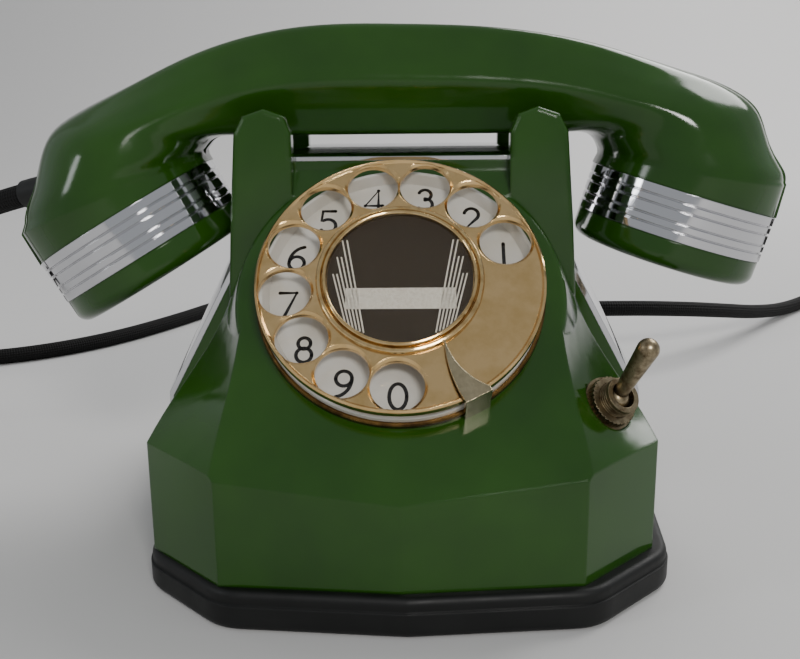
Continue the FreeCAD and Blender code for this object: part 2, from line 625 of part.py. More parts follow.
def ringer():
    top = BASE_PLATE_TOP
    frame = box((-40, -12, top), (40, 58, top + 1.5))
    save("ringer_frame", frame)
    save("gong_large", gong(GONG_RADIUS[0], GONG_X[0]))
    save("gong_small", gong(GONG_RADIUS[1], GONG_X[1]))
    posts = [disc(3.5, top + 1.5, 30.6, x, GONG_Y).cut(disc(1.5, 20, 31, x, GONG_Y)) for x in GONG_X]
    screws = [disc(1.5, 22, 32, x, GONG_Y).fuse(disc(3.4, 32, 33.6, x, GONG_Y)) for x in GONG_X]
    save("gong_screws", *screws)
    coils = [washer(8.0, 3.0, top + 3.0, 35.0, x, COIL_Y) for x in (-17, 19)]
    cores = [disc(3.0, top + 1.5, 36.0, x, COIL_Y) for x in (-17, 19)]
    save("ringer_coils", *coils)
    save("ringer_posts", *(posts + cores))
    armature = box((CLAPPER_X - 7, CLAPPER_PIVOT_Y - 3, 22), (CLAPPER_X + 7, CLAPPER_PIVOT_Y + 3, 25))
    arm = rod(V(CLAPPER_X, CLAPPER_PIVOT_Y, 23.5), V(CLAPPER_X, GONG_Y, 23.5), 0.9)
    ball = Part.makeSphere(3.0, V(CLAPPER_X, GONG_Y, 23.5))
    pin_hole = disc(PIN_RADIUS + RUNNING, 10, 40, CLAPPER_X, CLAPPER_PIVOT_Y)
    save("clapper", fuse_all([armature, arm, ball]).cut(pin_hole))


def transmission_parts():
    top = BASE_PLATE_TOP
    coil = rod(V(-26, -44, 24), V(26, -44, 24), 9.0)
    ends = [box((x - 1.5, -54, top), (x + 1.5, -34, 34)) for x in (-27.5, 27.5)]
    save("induction_coil", fuse_all([coil] + ends))
    save("condenser", box((-28, -78, top), (28, -60, 30)))
    strip = box((-26, -28, top), (26, -14, top + 8))
    screws = [disc(2.2, top + 8, top + 9.6, -20 + 10 * k, -21) for k in range(5)]
    save("terminal_strip", strip)
    save("terminal_screws", *screws)


# ------------------------------------------------------------------ handset
def cup_placement(cup):
    tilt = radians(cup["tilt"])
    axis = V(-cup["side"] * sin(tilt), 0, -cos(tilt))
    return Placement(cup["centre"], Rotation(UP, axis))


def cup_section(cup):
    """The cup's outline where its band begins, outermost point first."""
    tilt = radians(cup["tilt"])
    outward = V(cup["side"] * cos(tilt), 0, -sin(tilt)) * cup["radius"]
    outer = cup["centre"] + outward
    inner = cup["centre"] - outward
    return (outer.x, outer.z), (inner.x, inner.z), cup["radius"], 0.0


def section_wire(top, low, half_depth, facet):
    """A closed curve between a hexagon, with its ridges front and back, and an ellipse."""
    top = V(top[0], 0, top[1])
    low = V(low[0], 0, low[1])
    centre = (top + low) * 0.5
    rise = (top - low) * 0.5
    flat = (1 - facet) + facet * cos(pi / 6)
    edges = []
    for side in (1, -1):
        points = []
        for index in range(SECTION_POINTS // 2 + 1):
            angle = 2 * pi * index / SECTION_POINTS
            within = (angle - pi / 6) % (pi / 3) - pi / 6
            reach = (1 - facet) + facet * cos(pi / 6) / cos(within)
            across = V(0, side * half_depth * reach * sin(angle), 0)
            points.append(centre + rise * (reach / flat * cos(angle)) + across)
        points = points[::side]
        curve = Part.BSplineCurve()
        curve.interpolate(Points=points, InitialTangent=V(0, side, 0), FinalTangent=V(0, -side, 0))
        edges.append(curve.toShape())
    return Part.Wire(edges)


def handle():
    middle = Part.makeLoft([section_wire(*section) for section in HANDLE_MIDDLE], True, False)
    ends = ((TRANSMITTER, LEFT_COLLAR, HANDLE_MIDDLE[0]), (RECEIVER, RIGHT_COLLAR, HANDLE_MIDDLE[-1]))
    collars = []
    for cup, collar, last in ends:
        rings = [cup_section(cup), collar, last]
        collars.append(Part.makeLoft([section_wire(*ring) for ring in rings], True, True))
    shell = middle.multiFuse(collars)
    for cup in (TRANSMITTER, RECEIVER):
        where = cup_placement(cup)
        spigot = cup["radius"] - SPIGOT_WALL
        shell = shell.fuse(placed(disc(spigot, -1, BAND_HEIGHT + 3.5), where))
        shell = shell.cut(placed(disc(spigot - 3.0, -5, BAND_HEIGHT + 4), where))
    bend_left = V(-44, 0, 131)
    bend_right = V(44, 0, 131)
    channel = [(TRANSMITTER["centre"], bend_left), (bend_left, bend_right), (bend_right, RECEIVER["centre"])]
    for start, end in channel:
        shell = shell.cut(rod(start, end, 2.5))
    gland_end = HANDSET_EXIT - HANDSET_EXIT_DIRECTION * 27
    return shell.cut(rod(gland_end, HANDSET_EXIT, GLAND_RADIUS))


def cup_band(cup):
    outer = cup["radius"] + 0.3
    inner = cup["radius"] - SPIGOT_WALL
    groove = outer - 0.5
    profile = [(inner, 0.02), (outer, 0.02)]
    for height in (2.6, 5.0, 8.4, 10.8):
        profile += [(outer, height), (groove, height + 0.15), (groove, height + 0.45), (outer, height + 0.6)]
    profile += [(outer, BAND_HEIGHT), (inner, BAND_HEIGHT)]
    return placed(revolve(profile), cup_placement(cup))


def cup_cap(cup):
    """A screwed cap with a rounded edge, a dished face and sound holes."""
    radius = cup["radius"]
    inner = radius - SPIGOT_WALL
    low = BAND_HEIGHT + 0.02
    end = BAND_HEIGHT + CAP_HEIGHT
    cap = revolve([
        (inner, low), (radius, low), (radius, end), (radius - 9, end), (9, end - 2.2), (0, end - 2.2),
        (0, low + 3.7), (inner, low + 3.7),
    ])
    at_end = [edge for edge in cap.Edges if abs(edge.CenterOfMass.z - end) < 0.01]
    cap = cap.makeFillet(CAP_ROUNDING, [max(at_end, key=lambda edge: edge.Length)])
    holes = [disc(1.5, low, end + 1)]
    for count, circle in ((6, 5.5), (12, 11.0)):
        for index in range(count):
            angle = 2 * pi * index / count
            holes.append(disc(1.5, low, end + 1, circle * cos(angle), circle * sin(angle)))
    return placed(cap.cut(Part.makeCompound(holes)), cup_placement(cup))


def capsule(cup):
    radius = cup["radius"] - SPIGOT_WALL - 3.3
    can = revolve([(0, 5.0), (radius - 5, 5.0), (radius - 5, 9.0), (radius, 9.0), (radius, 15.5), (0, 15.5)])
    return placed(can, cup_placement(cup))


def handset():
    save("handset_handle", handle())
    for name, cup in (("transmitter", TRANSMITTER), ("receiver", RECEIVER)):
        save(name + "_band", cup_band(cup))
        save(name + "_cap", cup_cap(cup))
        save(name + "_capsule", capsule(cup))
    inner_end = HANDSET_EXIT - HANDSET_EXIT_DIRECTION * 16
    gland = rod(inner_end, HANDSET_EXIT, GLAND_RADIUS)
    save("handset_gland", gland)


# ------------------------------------------------------------------ cords
def cord_path(points):
    """Straight runs joined by the largest arcs that the runs allow."""
    points = [V(*point) for point in points]
    edges = []
    here = points[0]
    radii = []
    for before, corner, after in zip(points, points[1:], points[2:]):
        back = before - corner
        ahead = after - corner
        turn = pi - back.getAngle(ahead)
        setback = 0.45 * min(back.Length, ahead.Length)
        start = corner + back.normalize() * setback
        end = corner + ahead.normalize() * setback
        radius = setback / tan(turn / 2)
        radii.append(round(radius))
        middle = corner + (back + ahead).normalize() * (radius / cos(turn / 2) - radius)
        edges.append(Part.LineSegment(here, start).toShape())
        edges.append(Part.Arc(start, middle, end).toShape())
        here = end
    edges.append(Part.LineSegment(here, points[-1]).toShape())
    return Part.Wire(edges), radii


def cord(name, points):
    path, radii = cord_path(points)
    start = V(*points[0])
    heading = V(*points[1]) - start
    circle = Part.makeCircle(CORD_RADIUS, start, heading)
    solid = path.makePipeShell([Part.Wire(circle)], True, False)
    expected = pi * CORD_RADIUS ** 2 * path.Length
    print(f"{name} length {path.Length:.1f} radii {radii} volume ratio {solid.Volume / expected:.4f}")
    save(name, solid)


def cords():
    start = HANDSET_EXIT
    rear = REAR_EXIT_Y
    cord("handset_cord", [tuple(start)] + HANDSET_ROUTE + [(-REAR_EXIT_X, rear, REAR_EXIT_Z)])
    cord("line_cord", [(REAR_EXIT_X, rear, REAR_EXIT_Z)] + LINE_ROUTE)
    x, y = COIL_CENTRE
    outer = COIL_MIDDLE + COIL_WIDE / 2
    save("line_cord_coil", washer(outer, outer - COIL_WIDE, 0, COIL_HIGH, x, y))
    for name, side in (("handset_cord_grommet", -1), ("line_cord_grommet", 1)):
        low = V(side * REAR_EXIT_X, 79.0, REAR_EXIT_Z)
        wall = V(side * REAR_EXIT_X, 86.0, REAR_EXIT_Z)
        end = V(side * REAR_EXIT_X, rear, REAR_EXIT_Z)
        nose = Part.makeCone(GROMMET_RADIUS, CORD_RADIUS + 0.7, rear - wall.y, wall, end - wall)
        save(name, rod(low, wall, GROMMET_RADIUS - 0.02).fuse(nose))
    block_x, block_y = BLOCK_CENTRE
    body = box((block_x - 27, block_y - 19, 0), (block_x + 27, block_y + 19, 8))
    cover = box((block_x - 27, block_y - 19, 8), (block_x + 27, block_y + 19, 22))
    cover = cover.makeFillet(3.0, [edge for edge in cover.Edges if edge.CenterOfMass.z > 8.5])
    hollow = box((block_x - 24, block_y - 16, 8), (block_x + 24, block_y + 16, 19))
    save("connecting_block", body)
    save("connecting_block_cover", cover.cut(hollow).cut(disc(1.6, 5, 30, block_x, block_y)))
    shank = disc(1.6, 8, 22, block_x, block_y)
    save("connecting_block_screw", shank.fuse(disc(3.4, 22, 23.4, block_x, block_y)))


def main():
    os.makedirs("parts", exist_ok=True)
    base_parts()
    toggle_switch()
    dial_face()
    dial_wheel_parts()
    dial_works()
    hook_switch()
    ringer()
    transmission_parts()
    handset()
    cords()


main()
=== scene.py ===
from math import atan2, ceil, cos, pi, radians, sin

import bpy
from mathutils import Matrix, Vector


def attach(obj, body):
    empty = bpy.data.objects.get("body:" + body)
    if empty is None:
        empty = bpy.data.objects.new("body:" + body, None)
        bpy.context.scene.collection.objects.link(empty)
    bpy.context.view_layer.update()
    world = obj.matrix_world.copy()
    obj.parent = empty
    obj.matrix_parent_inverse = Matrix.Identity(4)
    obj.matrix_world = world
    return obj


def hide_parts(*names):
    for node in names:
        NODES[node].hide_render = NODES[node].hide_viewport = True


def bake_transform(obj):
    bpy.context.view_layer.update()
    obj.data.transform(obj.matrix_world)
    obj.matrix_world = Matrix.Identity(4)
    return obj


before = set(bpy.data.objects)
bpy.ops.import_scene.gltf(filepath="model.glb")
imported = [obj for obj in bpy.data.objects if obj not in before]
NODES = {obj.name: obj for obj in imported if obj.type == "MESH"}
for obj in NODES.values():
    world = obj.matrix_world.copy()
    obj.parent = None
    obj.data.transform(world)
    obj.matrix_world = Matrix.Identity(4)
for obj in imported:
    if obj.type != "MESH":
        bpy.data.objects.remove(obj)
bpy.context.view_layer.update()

MM = 0.001
COLOUR_A, COLOUR_B, COLOUR_OUT = 6, 7, 2   # the colour sockets of the mix node

# ---- camera ----
LENS = 45.0
CAMERA_PLACE = Vector((4.8, -312.0, 134.8)) * MM
CAMERA_PITCH = 14.0        # degrees below the horizontal
CAMERA_YAW = 1.1           # degrees to the left
CAMERA_ROLL = -0.6         # degrees, right side of the view a little higher

# ---- dial ----
DIAL_SLOPE = radians(48.9)
DIGIT_LIFT = 0.04          # fired digits, over the plate
PRINT_LIFT = 0.03          # printing, over the card
DIAL_CENTRE = Vector((0.0, -47.9, 78.8)) * MM
HOLE_CIRCLE = 30.47
HOLE_FIRST = 22.3
HOLE_STEP = 27.4
PLATE_FACE = 0.9
CARD_FACE = 8.8
DIGIT_STROKE = 0.98
DIGIT_HALF = 3.55          # half the height of a digit's centreline

# ---- card ----
LABEL_LEFT = -14.2
LABEL_RIGHT = 14.6
LABEL_LOW = -9.3
LABEL_HIGH = -3.1
STRIPES = 6                # in each fan
STRIPE_WIDTH = 0.42
STRIPE_PITCH = 0.92
STRIPE_RISE = 0.42         # of each stripe's foot over the one before
STRIPE_LEAN = 0.18
STRIPE_SPREAD = 0.014      # extra lean of each stripe
STRIPE_DROP = 5.2          # of each pair's top below the pair before
STRIPE_FOOT = (9.0, -16.2)
STRIPE_TOP = 11.6

# ---- cords ----
CORD_DIAMETER = 7.4
CORD_REST = CORD_DIAMETER / 2 + 0.1
HANDSET_EXIT = (-120.0, 7.0, 100.6)
REAR_EXIT_X = 30.0
REAR_EXIT_Y = 90.0
REAR_EXIT_Z = 22.0
HANDSET_ROUTE = [
    (-144.5, 18.5, 94.4), (-170, 31, 80), (-191, 43, 56), (-206, 54, 28), (-224, 70, 8),
    (-246, 98, CORD_REST), (-245, 132, CORD_REST), (-220, 156, CORD_REST), (-188, 168, CORD_REST),
    (-158, 195, CORD_REST),
    (-132, 238, CORD_REST), (-112, 282, CORD_REST), (-66, 304, CORD_REST), (-28, 280, CORD_REST),
    (-14, 233, CORD_REST), (-22, 184, CORD_REST), (-29, 142, 12), (-30, 112, 22),
]
LINE_ROUTE = [
    (30, 112, 22), (42, 140, 25), (68, 154, 28), (103, 156, 28), (132, 167, 25), (159, 189, 19),
    (186, 219, 11), (216, 256, CORD_REST), (249, 292, CORD_REST), (286.5, 311.5, CORD_REST),
]
COIL_CENTRE = (338.0, 300.0)
COIL_OUTER = 47.6          # radius of the outermost turn's centreline
COIL_PITCH = 7.6
COIL_START = 163.0         # degrees round the coil where the cord comes in
COIL_TURNS = 4.453         # up to the right-hand side, where the cord leaves for the block
COIL_INWARD = 2.0          # turns of the lower layer
COIL_CLIMB = 0.9           # turns spent on climbing to the upper layer
TUBE_STEP = 2.5
TUBE_SIDES = 20
BLOCK_ENTRY = [(381.0, 274.0, 9.5), (377.0, 250.0, 8.5), (369.0, 236.0, 8.0), (362.0, 232.0, 8.0)]


# ------------------------------------------------------------------ small tools
def linear(code):
    """sRGB hex to linear RGBA."""
    channels = [int(code[i:i + 2], 16) / 255 for i in (0, 2, 4)]
    return tuple(c / 12.92 if c <= 0.04045 else ((c + 0.055) / 1.055) ** 2.4 for c in channels) + (1.0,)


def add(tree, kind, settings=None, links=None):
    """Adds one node. Settings go to an input, or else to an attribute; links go to inputs."""
    node = tree.nodes.new(kind)
    for name, value in (settings or {}).items():
        if isinstance(name, int) or name in node.inputs:
            node.inputs[name].default_value = value
        else:
            setattr(node, name, value)
    for name, source in (links or {}).items():
        tree.links.new(source, node.inputs[name])
    return node


def new_material(name, **sockets):
    """An empty material with its Principled shader's own sockets set."""
    material = bpy.data.materials.new(name)
    material.use_nodes = True
    tree = material.node_tree
    shader = tree.nodes["Principled BSDF"]
    for socket, value in sockets.items():
        shader.inputs[socket.replace("_", " ")].default_value = value
    return material, tree, shader


def dress(node, material):
    """Gives a CAD node its material."""
    piece = NODES[node]
    piece.data.materials.clear()
    piece.data.materials.append(material)


def dial_point(x, y, height):
    """A point of the dial: x to the right, y up the slope and height above it, in millimetres."""
    up = Vector((0, cos(DIAL_SLOPE), sin(DIAL_SLOPE)))
    out = Vector((0, -sin(DIAL_SLOPE), cos(DIAL_SLOPE)))
    return DIAL_CENTRE + (Vector((x, 0, 0)) + up * y + out * height) * MM


def piece_from(name, verts, faces, material):
    """A mesh piece of one material, linked into the scene."""
    mesh = bpy.data.meshes.new(name)
    mesh.from_pydata([tuple(v) for v in verts], [], faces)
    mesh.materials.append(material)
    piece = bpy.data.objects.new(name, mesh)
    bpy.context.scene.collection.objects.link(piece)
    return piece


# ------------------------------------------------------------------ camera, floor and light
def camera():
    data = bpy.data.cameras.new("camera")
    data.lens = LENS
    data.sensor_width = 36.0
    data.clip_start = 0.01
    eye = bpy.data.objects.new("camera", data)
    bpy.context.scene.collection.objects.link(eye)
    turn = Matrix.Rotation(radians(CAMERA_YAW), 4, "Z")
    tip = Matrix.Rotation(radians(90 - CAMERA_PITCH), 4, "X")
    roll = Matrix.Rotation(radians(CAMERA_ROLL), 4, "Z")
    eye.matrix_world = Matrix.Translation(CAMERA_PLACE) @ turn @ tip @ roll
    bpy.context.scene.camera = eye


def floor():
    """A pale sweep: flat under the telephone, then curving up behind it."""
    half_width = 2.5
    front = -1.6
    bend_start = 1.0
    bend_radius = 0.8
    bend_angle = radians(80)
    steps = 12
    top = (2.0, 2.6)
    profile = [(front, 0.0), (bend_start, 0.0)]
    for step in range(1, steps + 1):
        angle = bend_angle * step / steps
        profile.append((bend_start + bend_radius * sin(angle), bend_radius * (1 - cos(angle))))
    profile.append(top)
    verts = [(x, y, z) for y, z in profile for x in (-half_width, half_width)]
    faces = [(2 * i, 2 * i + 1, 2 * i + 3, 2 * i + 2) for i in range(len(profile) - 1)]
    material, tree, shader = new_material("matt paper sweep", Roughness=0.9, Base_Color=linear("c9c8c7"))
    sweep = piece_from("floor", verts, faces, material)
    sweep.data.shade_smooth()


def area_light(name, place, target, size, power, colour):
    """A rectangular light that faces its target, with its size in metres and its power in watts."""
    data = bpy.data.lights.new(name, "AREA")
    data.shape = "RECTANGLE"
    data.size = size[0]
    data.size_y = size[1]
    data.energy = power
    data.color = colour
    lamp = bpy.data.objects.new(name, data)
    bpy.context.scene.collection.objects.link(lamp)
    lamp.location = place
    lamp.rotation_euler = (Vector(target) - Vector(place)).to_track_quat("-Z", "Y").to_euler()


def lights():
    world = bpy.data.worlds.new("studio")
    bpy.context.scene.world = world
    world.use_nodes = True
    background = world.node_tree.nodes["Background"]
    background.inputs["Color"].default_value = linear("e4e8ec")
    background.inputs["Strength"].default_value = 0.54
    target = (0.0, 0.0, 0.07)
    area_light("window_behind", (0.9, 1.0, 1.3), (0.2, 0.5, 0.0), (1.2, 0.9), 26.0, (1.0, 0.99, 0.98))
    area_light("front_key", (0.35, -1.35, 0.95), target, (0.35, 0.3), 11.0, (1.0, 0.98, 0.95))
    area_light("left_window", (-1.1, -0.5, 0.55), target, (0.18, 0.3), 1.3, (0.95, 0.98, 1.0))


# ------------------------------------------------------------------ finishes
def rounded_normal(tree, radius, bump=None, strength=0.1, distance=0.1):
    """The surface's normal with its edges rounded, and an optional bump on top."""
    bevel = add(tree, "ShaderNodeBevel", {"samples": 4, "Radius": radius * MM})
    if bump is None:
        return bevel.outputs["Normal"]
    raised = add(
        tree, "ShaderNodeBump",
        {"Strength": strength, "Distance": distance * MM},
        {"Height": bump, "Normal": bevel.outputs["Normal"]},
    )
    return raised.outputs["Normal"]


def noise(tree, period, detail=2.0, roughness=0.5, name="Fac"):
    """Noise over the object's own place, with blobs about one period across, in millimetres."""
    place = add(tree, "ShaderNodeTexCoord")
    texture = add(
        tree, "ShaderNodeTexNoise",
        {"Scale": 1 / (period * MM), "Detail": detail, "Roughness": roughness},
        {"Vector": place.outputs["Object"]},
    )
    return texture.outputs[name]


def spread(tree, source, low, high, to_low=0.0, to_high=1.0):
    """Stretches a value from one range to another and clamps it."""
    node = add(
        tree, "ShaderNodeMapRange",
        {"From Min": low, "From Max": high, "To Min": to_low, "To Max": to_high},
        {"Value": source},
    )
    return node.outputs["Result"]


def blend_colours(tree, amount, first, second):
    mix = {"data_type": "RGBA", COLOUR_A: linear(first), COLOUR_B: linear(second)}
    return add(tree, "ShaderNodeMix", mix, {0: amount}).outputs[COLOUR_OUT]


def green_phenolic():
    """Compression-moulded phenolic, polished: deep green with a faint cloudy flow and a hard gloss."""
    material, tree, shader = new_material("moulded green phenolic", IOR=1.46)
    flow = noise(tree, 38.0, 3.0, 0.55)
    colour = blend_colours(tree, spread(tree, flow, 0.35, 0.68), "1c3f08", "244b0b")
    tree.links.new(colour, shader.inputs["Base Color"])
    handling = noise(tree, 9.0, 4.0, 0.6)
    tree.links.new(spread(tree, handling, 0.35, 0.75, 0.08, 0.17), shader.inputs["Roughness"])
    ripple = noise(tree, 6.0, 2.0)
    tree.links.new(rounded_normal(tree, 1.1, ripple, 0.05, 0.12), shader.inputs["Normal"])
    return material


def chrome_plate():
    """Bright chrome on brass: a cool mirror with a little haze from cleaning."""
    material, tree, shader = new_material(
        "polished chrome plate", Metallic=1.0, Base_Color=linear("cfcfd2"),
    )
    haze = noise(tree, 5.0, 4.0, 0.6)
    tree.links.new(spread(tree, haze, 0.35, 0.8, 0.04, 0.13), shader.inputs["Roughness"])
    tree.links.new(rounded_normal(tree, 0.35), shader.inputs["Normal"])
    return material


def black_rubber():
    """Moulded rubber, gone dull: near black with a fine grain."""
    material, tree, shader = new_material("moulded black rubber", IOR=1.4)
    dust = noise(tree, 12.0, 4.0, 0.6)
    colour = blend_colours(tree, spread(tree, dust, 0.4, 0.75), "090a09", "101110")
    tree.links.new(colour, shader.inputs["Base Color"])
    tree.links.new(spread(tree, dust, 0.3, 0.7, 0.42, 0.6), shader.inputs["Roughness"])
    grain = noise(tree, 0.9, 3.0)
    tree.links.new(rounded_normal(tree, 0.8, grain, 0.12, 0.15), shader.inputs["Normal"])
    return material


def gold_lacquer():
    """Gold-lacquered brass, buffed: pale and warm, with faint handling marks."""
    material, tree, shader = new_material("bright gold lacquer", Metallic=1.0)
    wear = noise(tree, 7.0, 5.0, 0.6)
    colour = blend_colours(tree, spread(tree, wear, 0.4, 0.7), "e2c08a", "cdab72")
    tree.links.new(colour, shader.inputs["Base Color"])
    tree.links.new(spread(tree, wear, 0.35, 0.75, 0.12, 0.2), shader.inputs["Roughness"])
    fine = noise(tree, 0.5, 2.0)
    tree.links.new(rounded_normal(tree, 0.4, fine, 0.04, 0.05), shader.inputs["Normal"])
    return material


def polished_gold():
    """The card ring: the same lacquered brass, buffed to a mirror."""
    material, tree, shader = new_material("polished gilt brass", Metallic=1.0)
    wear = noise(tree, 3.0, 4.0, 0.6)
    colour = blend_colours(tree, spread(tree, wear, 0.45, 0.75), "d8bb88", "b08f5c")
    tree.links.new(colour, shader.inputs["Base Color"])
    tree.links.new(spread(tree, wear, 0.4, 0.8, 0.07, 0.2), shader.inputs["Roughness"])
    tree.links.new(rounded_normal(tree, 0.3), shader.inputs["Normal"])
    return material


def white_enamel():
    """Vitreous enamel on steel: off-white, glassy, with the waviness of fired glaze."""
    material, tree, shader = new_material("vitreous white enamel", IOR=1.5, Coat_Weight=0.2)
    age = noise(tree, 14.0, 3.0)
    colour = blend_colours(tree, spread(tree, age, 0.4, 0.75), "d5d2ca", "c6c1b4")
    tree.links.new(colour, shader.inputs["Base Color"])
    tree.links.new(spread(tree, age, 0.3, 0.7, 0.12, 0.2), shader.inputs["Roughness"])
    tree.links.new(rounded_normal(tree, 0.4, noise(tree, 4.0), 0.05, 0.08), shader.inputs["Normal"])
    return material


def black_digits():
    """Black enamel fired into the plate."""
    material, tree, shader = new_material("fired black enamel", IOR=1.5)
    speck = noise(tree, 0.6, 2.0)
    colour = blend_colours(tree, spread(tree, speck, 0.5, 0.8), "141210", "2a2622")
    tree.links.new(colour, shader.inputs["Base Color"])
    tree.links.new(spread(tree, speck, 0.3, 0.7, 0.2, 0.32), shader.inputs["Roughness"])
    return material


def aged_brass(name, light, dark, rough_low, rough_high, patch):
    """Bare or thinly plated brass that has browned where it is handled least."""
    material, tree, shader = new_material(name, Metallic=1.0)
    tarnish = noise(tree, patch, 6.0, 0.65)
    colour = blend_colours(tree, spread(tree, tarnish, 0.38, 0.66), light, dark)
    tree.links.new(colour, shader.inputs["Base Color"])
    tree.links.new(spread(tree, tarnish, 0.35, 0.7, rough_low, rough_high), shader.inputs["Roughness"])
    pits = noise(tree, 0.45, 3.0)
    tree.links.new(rounded_normal(tree, 0.3, pits, 0.12, 0.08), shader.inputs["Normal"])
    return material


def printed_card():
    """Coated card with a dark brown printed ground."""
    material, tree, shader = new_material("printed card", IOR=1.45)
    fibre = noise(tree, 0.7, 4.0, 0.6)
    colour = blend_colours(tree, spread(tree, fibre, 0.4, 0.7), "2b2115", "382d1d")
    tree.links.new(colour, shader.inputs["Base Color"])
    tree.links.new(spread(tree, fibre, 0.3, 0.7, 0.5, 0.65), shader.inputs["Roughness"])
    return material


def card_ink():
    """The unprinted white of the card, showing as stripes and a blank label."""
    material, tree, shader = new_material("white card stock", IOR=1.45)
    fibre = noise(tree, 0.8, 4.0, 0.6)
    colour = blend_colours(tree, spread(tree, fibre, 0.4, 0.7), "dcd7cf", "cdc6ba")
    tree.links.new(colour, shader.inputs["Base Color"])
    tree.links.new(spread(tree, fibre, 0.3, 0.7, 0.55, 0.7), shader.inputs["Roughness"])
    return material


def celluloid():
    """A thin clear window, slightly yellowed and scuffed."""
    material, tree, shader = new_material(
        "clear celluloid", IOR=1.25, Transmission_Weight=1.0, Base_Color=linear("f7f3e6"), Alpha=0.35,
    )
    scuff = noise(tree, 2.0, 5.0, 0.65)
    tree.links.new(spread(tree, scuff, 0.4, 0.8, 0.03, 0.14), shader.inputs["Roughness"])
    return material


def bare_metal(name, light, dark, rough):
    """Sheet or turned metal inside the housing, with a little mottling."""
    material, tree, shader = new_material(name, Metallic=1.0)
    mottle = noise(tree, 4.0, 4.0, 0.6)
    colour = blend_colours(tree, spread(tree, mottle, 0.35, 0.7), light, dark)
    tree.links.new(colour, shader.inputs["Base Color"])
    tree.links.new(spread(tree, mottle, 0.3, 0.7, rough, rough + 0.12), shader.inputs["Roughness"])
    return material


def black_phenolic():
    """Black moulding of the terminal blocks."""
    material, tree, shader = new_material("moulded black phenolic", IOR=1.6)
    flow = noise(tree, 9.0, 3.0)
    colour = blend_colours(tree, spread(tree, flow, 0.4, 0.7), "0f0e0d", "1b1917")
    tree.links.new(colour, shader.inputs["Base Color"])
    tree.links.new(spread(tree, flow, 0.3, 0.7, 0.16, 0.3), shader.inputs["Roughness"])
    tree.links.new(rounded_normal(tree, 0.8), shader.inputs["Normal"])
    return material


def taped_winding():
    """Cotton-taped copper winding."""
    material, tree, shader = new_material("cotton-taped winding", IOR=1.45)
    weave = noise(tree, 0.8, 3.0)
    colour = blend_colours(tree, spread(tree, weave, 0.35, 0.7), "5a2a1c", "7a4630")
    tree.links.new(colour, shader.inputs["Base Color"])
    tree.links.new(spread(tree, weave, 0.3, 0.7, 0.6, 0.8), shader.inputs["Roughness"])
    return material


def braided_cotton():
    """Glazed cotton braid: black strands crossing both ways round the cord, a little lighter on their crowns
    than between them.
    """
    material, tree, shader = new_material("braided black cotton", IOR=1.3)
    strand_pitch = 2.4
    wave_number = 2 * pi / strand_pitch
    place = add(tree, "ShaderNodeTexCoord")
    parts = add(tree, "ShaderNodeSeparateXYZ", None, {0: place.outputs["UV"]})
    waves = []
    for hand in (1.0, -1.0):
        leaning = add(
            tree, "ShaderNodeMath", {"operation": "MULTIPLY_ADD", 1: hand},
            {0: parts.outputs["Y"], 2: parts.outputs["X"]},
        )
        stretch = {"operation": "MULTIPLY", 1: wave_number}
        phase = add(tree, "ShaderNodeMath", stretch, {0: leaning.outputs[0]})
        waves.append(add(tree, "ShaderNodeMath", {"operation": "SINE"}, {0: phase.outputs[0]}).outputs[0])
    crown = add(tree, "ShaderNodeMath", {"operation": "MULTIPLY"}, {0: waves[0], 1: waves[1]}).outputs[0]
    fuzz = noise(tree, 0.6, 4.0, 0.7)
    fuzzy = {"operation": "MULTIPLY_ADD", 1: 0.6}
    height = add(tree, "ShaderNodeMath", fuzzy, {0: fuzz, 2: crown}).outputs[0]
    colour = blend_colours(tree, spread(tree, height, -0.6, 1.4), "060606", "11100f")
    tree.links.new(colour, shader.inputs["Base Color"])
    shader.inputs["Roughness"].default_value = 0.75
    bump = add(tree, "ShaderNodeBump", {"Strength": 0.7, "Distance": 0.4 * MM}, {"Height": height})
    tree.links.new(bump.outputs["Normal"], shader.inputs["Normal"])
    return material


# ------------------------------------------------------------------ cords
def route_line(points):
    """The smooth line of a route: points of one open spline that the route controls, in metres."""
    curve = bpy.data.curves.new("route", "CURVE")
    curve.dimensions = "3D"
    curve.resolution_u = 10
    spline = curve.splines.new("NURBS")
    spline.points.add(len(points) - 1)
    for control, point in zip(spline.points, points):
        control.co = (*[value * MM for value in point], 1.0)
    spline.order_u = 3
    spline.use_endpoint_u = True
    holder = bpy.data.objects.new("route", curve)
    mesh = bpy.data.meshes.new_from_object(holder)
    line = [vertex.co.copy() for vertex in mesh.vertices]
    bpy.data.objects.remove(holder)
    return line


def even_steps(line, step):
    """The same line with its points a step apart."""
    lengths = [(b - a).length for a, b in zip(line, line[1:])]
    total = sum(lengths)
    count = max(2, ceil(total / step))
    even = [line[0]]
    here = 0
    passed = 0.0
    for index in range(1, count):
        wanted = total * index / count
        while passed + lengths[here] < wanted:
            passed += lengths[here]
            here += 1
        part = (wanted - passed) / lengths[here]
        even.append(line[here].lerp(line[here + 1], part))
    even.append(line[-1])
    return even, total


